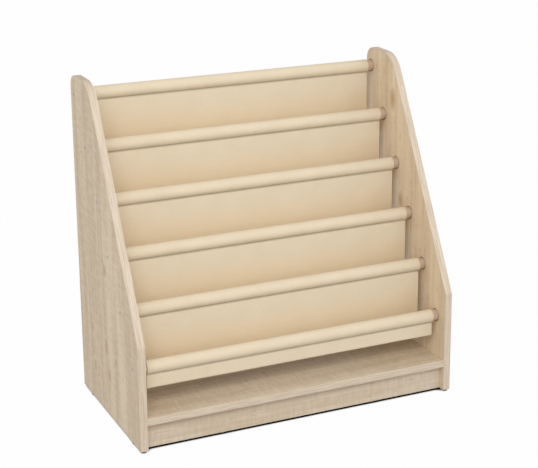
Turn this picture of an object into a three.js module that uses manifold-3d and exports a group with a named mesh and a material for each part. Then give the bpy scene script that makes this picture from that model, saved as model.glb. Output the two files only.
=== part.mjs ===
// A sling bookshelf for a child's room. Two side panels of melamine faced board stand on small
// glides. Six beech dowels run between them, each one lower and further forward than the last.
// Five slings of cloth hang on the dowels as pockets for picture books, and a low shelf on two
// plinths ties the feet of the sides together. The back is open.
// Millimetres. X runs across the shelf, -Y is its front, +Z is up, and the origin is on the
// floor under the middle.

import * as THREE from "three";
import { mergeVertices } from "three/addons/utils/BufferGeometryUtils.js";
import Module from "manifold-3d";

const wasm = await Module();
wasm.setup();

// Driving sizes of the case
const overallWidth = 800;
const sideDepth = 420;
const sideHeight = 785;
const boardThickness = 18;
const edgingThickness = 1;
const frontEdgeHeight = 250;
const topDepth = 129;
const kneeRadius = 15;
const frontTopRadius = 71;
const backTopRadius = 31;

// Driving sizes of the shelf and its plinths
const shelfHeight = 78;
const shelfFrontSetBack = 1.5;
const shelfRearSetBack = 1.5;
const plinthSetBack = 18;

// Driving sizes of the dowels, which step down and forward from the first to the last
const dowelCount = 6;
const dowelDiameter = 28;
const firstDowelFromBack = 21.5;
const firstDowelFromTop = 47;
const lastDowelFromFront = 45.5;
const lastDowelHeight = 182.5;
const socketDepth = 6;
const socketClearance = 1;

// Driving sizes of the slings
const clothThickness = 1.3;
const tunnelClearance = 0.3;
const slingSideGap = 14;
const leafOffset = 6.5;
const pocketDrop = 33.5;
const pocketSag = 6;
const rearFoldRadius = 5;
const frontFoldRadius = 3;
const sagRoundShare = 0.7;
const layerGap = 0.3;

// The screw that holds each end of a dowel from outside the side panel
const screwHeadDiameter = 8.4;
const screwHeadThickness = 3;
const screwShankDiameter = 5;
const screwLength = 50;
const screwKeyWidth = 4;
const screwKeyDepth = 2;

// The cam and its bolt that pull the end of a board to a side panel, and the wooden peg that
// keeps a plinth from turning on its bolt
const camDiameter = 15;
const camThickness = 12;
const camFromBoardEnd = 24;
const boltShankDiameter = 7;
const boltNeckDiameter = 4;
const boltNeckLength = 4;
const boltHeadThickness = 3;
const boltThreadDiameter = 5;
const boltThreadLength = 11;
const pegDiameter = 8;
const pegLength = 30;
const pegDepthInSide = 11;
const shelfCamFromEdge = 60;
const plinthCamShare = 1 / 3;
const plinthPegShare = 0.7;

// The nailed glide
const glideDiameter = 17;
const glideHeight = 5;
const glideEdgeRound = 1;
const glidePinDiameter = 2;
const glidePinLength = 12;
const sideGlideFromEdge = 60;
const plinthGlideFromMiddle = 195;

// Running clearance round every fastener, and the overrun of every cut
const holeClearance = 0.3;
const cutOverrun = 1;

// Facets of a quarter round, of the dowels, of the screws that show and of what lies hidden
const quarterSteps = 8;
const dowelFacets = 32;
const screwFacets = 16;
const hiddenFacets = 10;
const keyFacets = 6;

// Sizes that follow from the driving ones
const innerWidth = overallWidth - 2 * boardThickness;
const sideFaceX = innerWidth / 2;
const frontY = -sideDepth / 2;
const backY = sideDepth / 2;
const dowelRadius = dowelDiameter / 2;
const dowelLength = innerWidth + 2 * socketDepth;
const dowelPitchDepth = (sideDepth - firstDowelFromBack - lastDowelFromFront) / (dowelCount - 1);
const dowelPitchHeight = (sideHeight - firstDowelFromTop - lastDowelHeight) / (dowelCount - 1);
const tunnelInnerRadius = dowelRadius + tunnelClearance;
const tunnelOuterRadius = tunnelInnerRadius + clothThickness;
const slingWidth = innerWidth - 2 * slingSideGap;
const plinthHeight = shelfHeight - boardThickness;
const quarterTurn = Math.PI / 2;

const slots = {
  wood: new THREE.MeshStandardMaterial({ color: "#cbb89f", roughness: 0.55, metalness: 0 }),
  edging: new THREE.MeshStandardMaterial({ color: "#d8c7af", roughness: 0.5, metalness: 0 }),
  beech: new THREE.MeshStandardMaterial({ color: "#b79d86", roughness: 0.6, metalness: 0 }),
  cloth: new THREE.MeshStandardMaterial({ color: "#e3d3b4", roughness: 0.7, metalness: 0 }),
  steel: new THREE.MeshStandardMaterial({ color: "#a6a7a8", roughness: 0.35, metalness: 1 }),
  zinc: new THREE.MeshStandardMaterial({ color: "#8f9194", roughness: 0.45, metalness: 1 }),
  glide: new THREE.MeshStandardMaterial({ color: "#161616", roughness: 0.5, metalness: 0 }),
};

const sides = [
  { name: "left", sign: -1 },
  { name: "right", sign: 1 },
];

// The places where a dowel crosses the side panels, counted from the top one at the back
const dowelPlaces = Array.from({ length: dowelCount }, (_, index) => ({
  y: backY - firstDowelFromBack - index * dowelPitchDepth,
  z: sideHeight - firstDowelFromTop - index * dowelPitchHeight,
}));

// The places of the hidden fittings at each end of a board. A cam's mouth is the direction in Y
// and Z of the face that it goes in through: the underside of the shelf, or the inner face of a
// plinth.
const plinthMiddleY = -frontY - plinthSetBack - boardThickness / 2;
const plinthCamZ = plinthHeight * plinthCamShare;
const plinthPegZ = plinthHeight * plinthPegShare;
const shelfMiddleZ = shelfHeight - boardThickness / 2;
const camPlaces = [
  { board: "shelf", y: frontY + shelfCamFromEdge, z: shelfMiddleZ, mouth: [0, -1] },
  { board: "shelf", y: backY - shelfCamFromEdge, z: shelfMiddleZ, mouth: [0, -1] },
  { board: "front_plinth", y: -plinthMiddleY, z: plinthCamZ, mouth: [1, 0] },
  { board: "rear_plinth", y: plinthMiddleY, z: plinthCamZ, mouth: [-1, 0] },
];
const pegPlaces = [
  { board: "front_plinth", y: -plinthMiddleY, z: plinthPegZ },
  { board: "rear_plinth", y: plinthMiddleY, z: plinthPegZ },
];

// A geometry as a closed solid that can be cut
function solidOf(geometry) {
  const bare = geometry.index ? geometry.toNonIndexed() : geometry.clone();
  bare.deleteAttribute("normal");
  bare.deleteAttribute("uv");
  const merged = mergeVertices(bare);
  return new wasm.Manifold(
    new wasm.Mesh({
      numProp: 3,
      vertProperties: merged.attributes.position.array,
      triVerts: new Uint32Array(merged.index.array),
    }),
  );
}

// A solid back as a geometry with flat facets
function geometryOf(solid) {
  const mesh = solid.getMesh();
  const geometry = new THREE.BufferGeometry();
  geometry.setAttribute("position", new THREE.BufferAttribute(mesh.vertProperties, 3));
  geometry.setIndex(new THREE.BufferAttribute(mesh.triVerts, 1));
  const faceted = geometry.toNonIndexed();
  faceted.computeVertexNormals();
  return faceted;
}

function cut(geometry, cutters) {
  const rest = cutters.reduce((solid, cutter) => solid.subtract(solidOf(cutter)), solidOf(geometry));
  return geometryOf(rest);
}

function named(name, geometry, material) {
  const mesh = new THREE.Mesh(geometry, material);
  mesh.name = name;
  return mesh;
}

// An upright outline in Y and Z, drawn out along X by a width and centred on a given X
const acrossX = new THREE.Matrix4().makeBasis(
  new THREE.Vector3(0, 1, 0),
  new THREE.Vector3(0, 0, 1),
  new THREE.Vector3(1, 0, 0),
);
function drawnAcross(outline, width, middleX, holes = []) {
  const shape = new THREE.Shape(outline);
  shape.holes = holes.map((hole) => new THREE.Path(hole));
  const geometry = new THREE.ExtrudeGeometry(shape, { depth: width, bevelEnabled: false });
  return geometry.translate(0, 0, middleX - width / 2).applyMatrix4(acrossX);
}

// A round bar along X from one X to another
function barAlongX(radius, fromX, toX, y, z, facets) {
  const length = Math.abs(toX - fromX);
  const bar = new THREE.CylinderGeometry(radius, radius, length, facets);
  return bar.rotateZ(quarterTurn).translate((fromX + toX) / 2, y, z);
}

// A turned piece whose axis lies along X: the profile lists its radius at each distance from
// the start, and it runs inwards from the outer face of the side with the given sign
function turnedAlongX(profile, sign, startX, y, z, facets) {
  const points = profile.map(([radius, distance]) => new THREE.Vector2(radius, distance));
  const turned = new THREE.LatheGeometry(points, facets);
  return turned.rotateZ(sign * quarterTurn).translate(sign * startX, y, z);
}

// The path that runs beside a line of corners at a distance to its left. Each inner corner has
// a round of its own radius, kept concentric, so that paths at two distances stay parallel.
function roundedPath(corners, leftDistance) {
  const points = [];
  const direction = (a, b) => new THREE.Vector2(b.y - a.y, b.z - a.z).normalize();
  const leftOf = (d) => new THREE.Vector2(-d.y, d.x);
  corners.forEach((corner, index) => {
    const here = new THREE.Vector2(corner.y, corner.z);
    const before = index > 0 ? direction(corners[index - 1], corner) : null;
    const after = index < corners.length - 1 ? direction(corner, corners[index + 1]) : null;
    if (!before || !after) {
      points.push(here.addScaledVector(leftOf(before ?? after), leftDistance));
      return;
    }
    const turn = Math.atan2(before.cross(after), before.dot(after));
    const side = Math.sign(turn);
    const tangent = corner.radius * Math.tan(Math.abs(turn) / 2);
    const start = here.clone().addScaledVector(before, -tangent);
    const centre = start.addScaledVector(leftOf(before), side * corner.radius);
    const radius = corner.radius - side * leftDistance;
    const steps = Math.max(2, Math.ceil((Math.abs(turn) / quarterTurn) * quarterSteps));
    for (let step = 0; step <= steps; step += 1) {
      const outward = leftOf(before)
        .multiplyScalar(-side)
        .rotateAround(new THREE.Vector2(), (turn * step) / steps);
      points.push(centre.clone().addScaledVector(outward, radius));
    }
  });
  return points;
}

// The side panel's outline from the front foot up, over the top and down to the rear foot
const sideCorners = [
  { y: frontY, z: 0 },
  { y: frontY, z: frontEdgeHeight, radius: kneeRadius },
  { y: backY - topDepth, z: sideHeight, radius: frontTopRadius },
  { y: backY, z: sideHeight, radius: backTopRadius },
  { y: backY, z: 0 },
];
const boardOutline = roundedPath(sideCorners, -edgingThickness);
const edgedOutline = roundedPath(sideCorners, 0);

// Side panel: sockets for the dowels inside, screw holes through, and blind holes for fittings
function sidePanel({ name, sign }) {
  const outerX = sign * (overallWidth / 2);
  const faceX = sign * sideFaceX;
  const board = drawnAcross(boardOutline, boardThickness, sign * (sideFaceX + boardThickness / 2));
  const socketFloorX = faceX + sign * socketDepth;
  const headFloorX = outerX - sign * (screwHeadThickness + holeClearance);
  const socketRadius = dowelRadius + socketClearance;
  const headRadius = screwHeadDiameter / 2 + holeClearance;
  const shankRadius = screwShankDiameter / 2 + holeClearance;
  const overrun = sign * cutOverrun;
  const dowelCuts = dowelPlaces.flatMap(({ y, z }) => [
    barAlongX(socketRadius, faceX - overrun, socketFloorX, y, z, dowelFacets),
    barAlongX(headRadius, headFloorX, outerX + overrun, y, z, screwFacets),
    barAlongX(shankRadius, faceX, outerX, y, z, hiddenFacets),
  ]);
  const boltRadius = boltThreadDiameter / 2 + holeClearance;
  const boltDepth = sign * (boltThreadLength + holeClearance);
  const boltCuts = camPlaces.map(({ y, z }) =>
    barAlongX(boltRadius, faceX - overrun, faceX + boltDepth, y, z, hiddenFacets),
  );
  const pegRadius = pegDiameter / 2 + holeClearance;
  const pegDepth = sign * (pegDepthInSide + holeClearance);
  const pegCuts = pegPlaces.map(({ y, z }) =>
    barAlongX(pegRadius, faceX - overrun, faceX + pegDepth, y, z, hiddenFacets),
  );
  const middleX = sign * (sideFaceX + boardThickness / 2);
  const pinCuts = sideGlideYs.map((y) => glidePinHole(middleX, y));
  return named(`side_${name}`, cut(board, [...dowelCuts, ...boltCuts, ...pegCuts, ...pinCuts]), slots.wood);
}

// Edging: one strip bent round the side panel from its front foot to its rear foot
function sideEdging({ name, sign }) {
  const outline = [...edgedOutline, ...boardOutline.toReversed()];
  const strip = drawnAcross(outline, boardThickness, sign * (sideFaceX + boardThickness / 2));
  return named(`side_edging_${name}`, strip, slots.edging);
}

// Dowel: a plain round bar, drilled at both ends for its screws
function dowel({ y, z }, index) {
  const halfLength = dowelLength / 2;
  const bar = barAlongX(dowelRadius, -halfLength, halfLength, y, z, dowelFacets);
  const pilotRadius = screwShankDiameter / 2 + holeClearance;
  const pilotDepth = screwLength - (boardThickness - socketDepth) + holeClearance;
  const pilots = sides.map(({ sign }) =>
    barAlongX(
      pilotRadius,
      sign * (halfLength - pilotDepth),
      sign * (halfLength + cutOverrun),
      y,
      z,
      hiddenFacets,
    ),
  );
  return named(`dowel_${index + 1}`, cut(bar, pilots), slots.beech);
}

// Dowel screw: a flat head flush with the panel, a six sided socket and a shank
function dowelScrew({ name, sign }, { y, z }, index) {
  const outerX = overallWidth / 2;
  const headRadius = screwHeadDiameter / 2;
  const shankRadius = screwShankDiameter / 2;
  const profile = [
    [0, 0],
    [headRadius, 0],
    [headRadius, screwHeadThickness],
    [shankRadius, screwHeadThickness],
    [shankRadius, screwLength - shankRadius],
    [0, screwLength],
  ];
  const body = turnedAlongX(profile, sign, outerX, y, z, screwFacets);
  const keyRadius = screwKeyWidth / Math.sqrt(3);
  const keyFloorX = sign * (outerX - screwKeyDepth);
  const key = barAlongX(keyRadius, keyFloorX, sign * (outerX + cutOverrun), y, z, keyFacets);
  return named(`dowel_screw_${name}_${index + 1}`, cut(body, [key]), slots.steel);
}

// The distances of the glides under a side panel and under a plinth
const sideGlideYs = [frontY + sideGlideFromEdge, backY - sideGlideFromEdge];
const plinthGlideXs = sides.map(({ sign }) => sign * plinthGlideFromMiddle);
const glidePlaces = [
  ...sides.flatMap(({ name, sign }) => {
    const x = sign * (sideFaceX + boardThickness / 2);
    return [
      { name: `side_${name}_front`, x, y: sideGlideYs[0] },
      { name: `side_${name}_rear`, x, y: sideGlideYs[1] },
    ];
  }),
  ...sides.flatMap(({ name }, index) => [
    { name: `front_plinth_${name}`, x: plinthGlideXs[index], y: -plinthMiddleY },
    { name: `rear_plinth_${name}`, x: plinthGlideXs[index], y: plinthMiddleY },
  ]),
];

function glidePinHole(x, y) {
  const radius = glidePinDiameter / 2 + holeClearance;
  const length = glidePinLength + holeClearance + cutOverrun;
  const hole = new THREE.CylinderGeometry(radius, radius, length, hiddenFacets);
  return hole.rotateX(quarterTurn).translate(x, y, length / 2 - cutOverrun);
}

// Glide: a flat button with a rounded lower edge and a pin that is driven into the board
function glide({ name, x, y }) {
  const radius = glideDiameter / 2;
  const pinRadius = glidePinDiameter / 2;
  const profile = [
    [0, -glideHeight],
    [radius - glideEdgeRound, -glideHeight],
    [radius, glideEdgeRound - glideHeight],
    [radius, 0],
    [pinRadius, 0],
    [pinRadius, glidePinLength - pinRadius],
    [0, glidePinLength],
  ];
  const points = profile.map(([r, height]) => new THREE.Vector2(r, height));
  const button = new THREE.LatheGeometry(points, screwFacets).rotateX(quarterTurn);
  return named(`glide_${name}`, button.translate(x, y, 0), slots.glide);
}

// The round way that a bolt needs through the end of the board and into its cam
const boltWayRadius = boltShankDiameter / 2 + holeClearance;
const boltWayEndX = sideFaceX - camFromBoardEnd - boltHeadThickness / 2 - holeClearance;

// The hole that takes a cam, and the channel in the end of the board for its bolt
function camCuts({ y, z, mouth }, sign) {
  const pocketDepth = camThickness + holeClearance + cutOverrun;
  const camX = sign * (sideFaceX - camFromBoardEnd);
  const pocket = camCylinder(camDiameter / 2 + holeClearance, pocketDepth, mouth);
  const reach = boardThickness / 2 + cutOverrun - pocketDepth / 2;
  pocket.translate(camX, y + mouth[0] * reach, z + mouth[1] * reach);
  const channelMouth = sign * (sideFaceX + cutOverrun);
  return [pocket, barAlongX(boltWayRadius, sign * boltWayEndX, channelMouth, y, z, hiddenFacets)];
}

// A cylinder whose axis lies along the direction of its cam's mouth
function camCylinder(radius, length, mouth) {
  const cylinder = new THREE.CylinderGeometry(radius, radius, length, hiddenFacets);
  return mouth[0] === 0 ? cylinder.rotateX(quarterTurn) : cylinder;
}

function pegCut({ y, z }, sign) {
  const depth = pegLength - pegDepthInSide + holeClearance;
  const radius = pegDiameter / 2 + holeClearance;
  return barAlongX(radius, sign * (sideFaceX - depth), sign * (sideFaceX + cutOverrun), y, z, hiddenFacets);
}

// The cuts that both ends of a board need for its cams, bolts and pegs
function fittingCuts(board) {
  const ownCams = camPlaces.filter((place) => place.board === board);
  const ownPegs = pegPlaces.filter((place) => place.board === board);
  return sides.flatMap(({ sign }) => [
    ...ownCams.flatMap((place) => camCuts(place, sign)),
    ...ownPegs.map((place) => pegCut(place, sign)),
  ]);
}

// Bottom shelf: a board between the sides, with its own strip of edging along the front
const shelfFrontY = frontY + shelfFrontSetBack;
function bottomShelf() {
  const boardFrontY = shelfFrontY + edgingThickness;
  const depth = backY - shelfRearSetBack - boardFrontY;
  const board = new THREE.BoxGeometry(innerWidth, depth, boardThickness);
  board.translate(0, boardFrontY + depth / 2, shelfMiddleZ);
  return named("bottom_shelf", cut(board, fittingCuts("shelf")), slots.wood);
}

function shelfEdging() {
  const strip = new THREE.BoxGeometry(innerWidth, edgingThickness, boardThickness);
  strip.translate(0, shelfFrontY + edgingThickness / 2, shelfMiddleZ);
  return named("shelf_edging", strip, slots.edging);
}

// Plinth: a board on edge under the shelf, set back from the edge of the sides
function plinth(name, middleY) {
  const board = new THREE.BoxGeometry(innerWidth, boardThickness, plinthHeight);
  board.translate(0, middleY, plinthHeight / 2);
  const pinHoles = plinthGlideXs.map((x) => glidePinHole(x, middleY));
  return named(name, cut(board, [...fittingCuts(name), ...pinHoles]), slots.wood);
}

// Cam bolt: a thread in the side panel, a shank, a neck and a head in the cam
function camBolt({ name, sign }, { y, z }, index) {
  const faceToHead = camFromBoardEnd + boltHeadThickness / 2;
  const threadStart = sideFaceX + boltThreadLength;
  const threadRadius = boltThreadDiameter / 2;
  const shankRadius = boltShankDiameter / 2;
  const neckRadius = boltNeckDiameter / 2;
  const total = boltThreadLength + faceToHead;
  const headStart = total - boltHeadThickness;
  const profile = [
    [0, 0],
    [threadRadius, 0],
    [threadRadius, boltThreadLength + holeClearance],
    [shankRadius, boltThreadLength + holeClearance],
    [shankRadius, headStart - boltNeckLength],
    [neckRadius, headStart - boltNeckLength],
    [neckRadius, headStart],
    [shankRadius, headStart],
    [shankRadius, total],
    [0, total],
  ];
  const bolt = turnedAlongX(profile, sign, threadStart, y, z, hiddenFacets);
  return named(`cam_bolt_${name}_${index + 1}`, bolt, slots.steel);
}

// Cam: a disc with a slot that the bolt's head enters from the board's end
function cam({ name, sign }, { y, z, mouth }, index) {
  const camX = sign * (sideFaceX - camFromBoardEnd);
  const disc = camCylinder(camDiameter / 2, camThickness, mouth);
  const reach = boardThickness / 2 - camThickness / 2;
  disc.translate(camX, y + mouth[0] * reach, z + mouth[1] * reach);
  const slotMouthX = camX + sign * (camDiameter / 2 + cutOverrun);
  const slot = barAlongX(boltWayRadius, sign * boltWayEndX, slotMouthX, y, z, hiddenFacets);
  return named(`cam_${name}_${index + 1}`, cut(disc, [slot]), slots.zinc);
}

// Wooden peg, half in the side panel and half in the end of a plinth
function peg({ name, sign }, { y, z, board }) {
  const outerEndX = sign * (sideFaceX + pegDepthInSide);
  const innerEndX = outerEndX - sign * pegLength;
  const bar = barAlongX(pegDiameter / 2, outerEndX, innerEndX, y, z, hiddenFacets);
  return named(`peg_${board}_${name}`, bar, slots.beech);
}

// The outside of a tunnel round a dowel: the arc that leads clockwise, seen from the right,
// from where the sling's front face leaves it to where the sling's rear face leaves it
function tunnelArc(centreY, centreZ, frontFaceY, rearFaceY) {
  const angleAt = (y) => -Math.PI + Math.acos(-y / tunnelOuterRadius);
  const from = angleAt(frontFaceY);
  const sweep = 2 * Math.PI - (angleAt(rearFaceY) - from);
  const points = [];
  for (let step = 1; step < dowelFacets; step += 1) {
    const angle = from - (sweep * step) / dowelFacets;
    points.push(
      new THREE.Vector2(
        centreY + tunnelOuterRadius * Math.cos(angle),
        centreZ + tunnelOuterRadius * Math.sin(angle),
      ),
    );
  }
  return points;
}

function tunnelBore(centreY, centreZ) {
  return Array.from({ length: dowelFacets }, (_, step) => {
    const angle = (2 * Math.PI * step) / dowelFacets;
    return new THREE.Vector2(
      centreY + tunnelInnerRadius * Math.cos(angle),
      centreZ + tunnelInnerRadius * Math.sin(angle),
    );
  });
}

// How far below a tunnel's middle its outside lies at a given depth from that middle
const tunnelUnderside = (y) => -Math.sqrt(tunnelOuterRadius ** 2 - y ** 2);

// Sling: a tunnel on its dowel, a leaf that hangs down from it, a fold, the sagging bottom of the
// pocket, a fold, and a front leaf up to the next dowel. It ends behind the next sling's leaf.
// The last sling has a second tunnel there, on the lowest dowel.
function sling({ y, z }, index) {
  const isLast = index === dowelCount - 2;
  const halfCloth = clothThickness / 2;
  const nextY = -dowelPitchDepth;
  const nextZ = -dowelPitchHeight;
  const leafY = -leafOffset;
  const lapped = leafY + clothThickness + layerGap;
  const frontLeafY = isLast ? leafY : lapped;
  const bottomZ = nextZ - tunnelOuterRadius - pocketDrop + halfCloth;
  const halfRun = (leafY - nextY - frontLeafY) / 2;
  const sagSlope = pocketSag / halfRun;
  const sagRadius = (sagRoundShare * Math.hypot(halfRun, pocketSag)) / sagSlope;
  const frontLeafTop = tunnelUnderside(frontLeafY + halfCloth) - (isLast ? 0 : layerGap);
  const corners = [
    { y: leafY, z: tunnelUnderside(leafY) },
    { y: leafY, z: bottomZ, radius: rearFoldRadius },
    { y: leafY - halfRun, z: bottomZ - pocketSag, radius: sagRadius },
    { y: nextY + frontLeafY, z: bottomZ, radius: frontFoldRadius },
    { y: nextY + frontLeafY, z: nextZ + frontLeafTop },
  ];
  const rearFace = roundedPath(corners, halfCloth);
  const innerFace = roundedPath(corners, -halfCloth);
  rearFace[0].y = tunnelUnderside(leafY + halfCloth);
  innerFace[0].y = tunnelUnderside(leafY - halfCloth);
  const holes = [tunnelBore(0, 0)];
  const lastTunnel = [];
  if (isLast) {
    rearFace.at(-1).y = nextZ + tunnelUnderside(leafY - halfCloth);
    innerFace.at(-1).y = nextZ + tunnelUnderside(leafY + halfCloth);
    lastTunnel.push(...tunnelArc(nextY, nextZ, leafY - halfCloth, leafY + halfCloth));
    holes.push(tunnelBore(nextY, nextZ));
  }
  const outline = [
    ...rearFace,
    ...lastTunnel,
    ...innerFace.toReversed(),
    ...tunnelArc(0, 0, leafY - halfCloth, leafY + halfCloth),
  ];
  const mesh = named(`sling_${index + 1}`, drawnAcross(outline, slingWidth, 0, holes), slots.cloth);
  mesh.position.set(0, y, z);
  return mesh;
}

const bookshelf = new THREE.Group();
bookshelf.name = "sling_bookshelf";

// Everything is drawn from the lower edge of the side panels, which the glides lift off the floor
const aboveGlides = new THREE.Group();
aboveGlides.position.z = glideHeight;
bookshelf.add(aboveGlides);

sides.forEach((side) => {
  aboveGlides.add(sidePanel(side));
  aboveGlides.add(sideEdging(side));
  dowelPlaces.forEach((place, index) => aboveGlides.add(dowelScrew(side, place, index)));
  camPlaces.forEach((place, index) => aboveGlides.add(camBolt(side, place, index)));
  camPlaces.forEach((place, index) => aboveGlides.add(cam(side, place, index)));
  pegPlaces.forEach((place) => aboveGlides.add(peg(side, place)));
});
dowelPlaces.forEach((place, index) => aboveGlides.add(dowel(place, index)));
dowelPlaces.slice(0, -1).forEach((place, index) => aboveGlides.add(sling(place, index)));
aboveGlides.add(bottomShelf());
aboveGlides.add(shelfEdging());
aboveGlides.add(plinth("front_plinth", -plinthMiddleY));
aboveGlides.add(plinth("rear_plinth", plinthMiddleY));
glidePlaces.forEach((place) => aboveGlides.add(glide(place)));

export default bookshelf;
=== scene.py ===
# The looks of a sling bookshelf for a child's room: two side panels of melamine faced board, six
# beech dowels between them, five slings of cream cloth that hang on the dowels as pockets for
# picture books, and a low shelf on two plinths. Metres, +Z up, -Y is the front.

import math
from functools import partial

import bmesh
import bpy
import numpy as np
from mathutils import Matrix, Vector


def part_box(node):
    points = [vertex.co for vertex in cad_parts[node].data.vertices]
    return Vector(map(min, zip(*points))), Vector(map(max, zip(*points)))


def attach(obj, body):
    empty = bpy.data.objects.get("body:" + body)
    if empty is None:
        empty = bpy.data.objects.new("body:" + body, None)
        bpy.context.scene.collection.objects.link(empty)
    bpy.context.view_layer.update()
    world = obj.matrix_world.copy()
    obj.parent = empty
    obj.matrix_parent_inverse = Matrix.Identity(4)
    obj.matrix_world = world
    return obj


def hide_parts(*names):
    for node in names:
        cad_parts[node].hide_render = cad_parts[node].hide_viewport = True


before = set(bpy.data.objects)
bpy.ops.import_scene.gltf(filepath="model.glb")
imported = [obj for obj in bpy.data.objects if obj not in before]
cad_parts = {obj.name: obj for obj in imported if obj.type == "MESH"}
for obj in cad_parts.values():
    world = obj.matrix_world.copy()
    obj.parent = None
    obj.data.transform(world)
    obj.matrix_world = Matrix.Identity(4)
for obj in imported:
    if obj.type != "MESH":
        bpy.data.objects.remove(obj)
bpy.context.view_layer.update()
mm = 0.001


# Side panels
# 18 mm chipboard with a melamine face on both sides, printed with a pale maple decor. The grain
# runs upright. The faces are flat and slightly pearly. The screws through them hold the dowels.

side_low, side_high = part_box("side_left")
board_thickness = side_high.x - side_low.x
inner_plane_x = abs(side_high.x)
socket_radius = 15 * mm
# Socket rims: a dark brown ring round each dowel socket, partly board chipped bare at the edge of
# the hole and partly painted shadow of the gap round the dowel.
rim_width, rim_core, rim_depth = 1.6 * mm, 0.8 * mm, 7.2 * mm
rim_strength = 0.85
rim_shade_brown = "#5f4a36"
side_decor = {"pale": "#e4d2b5", "middle": "#dac5a8", "deep": "#ccb596", "fleck": "#b38d62"}
left_figure, right_figure = 0.53, 0.24
# A knot is given in millimetres: back from the middle, up from the floor, and half its width.
left_knots = [(9, 367, 14), (118, 188, 12), (16, 175, 18),
              (108, 95, 13), (-53, 162, 13), (0, 108, 15)]
right_knots = [(71, 679, 20), (22, 431, 15)]
dowel_count = 6
smooth = {"interpolation_type": "SMOOTHSTEP"}
# The colour sockets of a Mix node go by number, because it has others of the same names.
first_colour, second_colour, mixed_colour = 6, 7, 2


def linear(hex_colour):
    """A hex sRGB colour as linear red, green and blue with alpha 1, by the sRGB transfer curve."""
    shares = [int(hex_colour[at:at + 2], 16) / 255 for at in (1, 3, 5)]
    curve = [s / 12.92 if s <= 0.04045 else ((s + 0.055) / 1.055) ** 2.4 for s in shares]
    return (*curve, 1.0)


def set_inputs(node, inputs):
    """Gives each input of a node, by its name or its number, its value or its link."""
    for socket, value in inputs.items() if isinstance(inputs, dict) else enumerate(inputs):
        if isinstance(value, bpy.types.NodeSocket):
            node.id_data.links.new(value, node.inputs[socket])
        else:
            node.inputs[socket].default_value = value


def add_node(tree, kind, inputs=(), result=0, stops=(), **settings):
    """Adds one node with its settings, its inputs and, on a colour ramp, the places and hex
    colours of its stops. It returns the output that has the result's name or number."""
    node = tree.nodes.new(f"ShaderNode{kind}")
    for name, value in settings.items():
        setattr(node, name, value)
    for number, (place, hex_colour) in enumerate(stops):
        elements = node.color_ramp.elements
        element = elements[number] if number < len(elements) else elements.new(place)
        element.position = place
        element.color = linear(hex_colour)
    set_inputs(node, inputs)
    return node.outputs[result]


def new_material(name, constants):
    """An empty material, its shader, whose own sockets take the constants, and a function that
    adds a node to the material."""
    material = bpy.data.materials.new(name)
    material.use_nodes = True
    shader = material.node_tree.nodes["Principled BSDF"]
    set_inputs(shader, constants)
    return material, shader, partial(add_node, material.node_tree)


def random_pattern(add, place, sizes, detail=2.0, roughness=0.5, slant=0.0):
    """A random pattern. The place is turned by the slant about X and Y and scaled so that a cell
    of the noise is as large as the real sizes on the three axes."""
    mapped = add("Mapping", {"Vector": place, "Rotation": (slant, slant, 0.0),
                             "Scale": [1 / size for size in sizes]})
    return add("TexNoise", {"Vector": mapped, "Scale": 1.0, "Detail": detail,
                            "Roughness": roughness})


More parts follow.
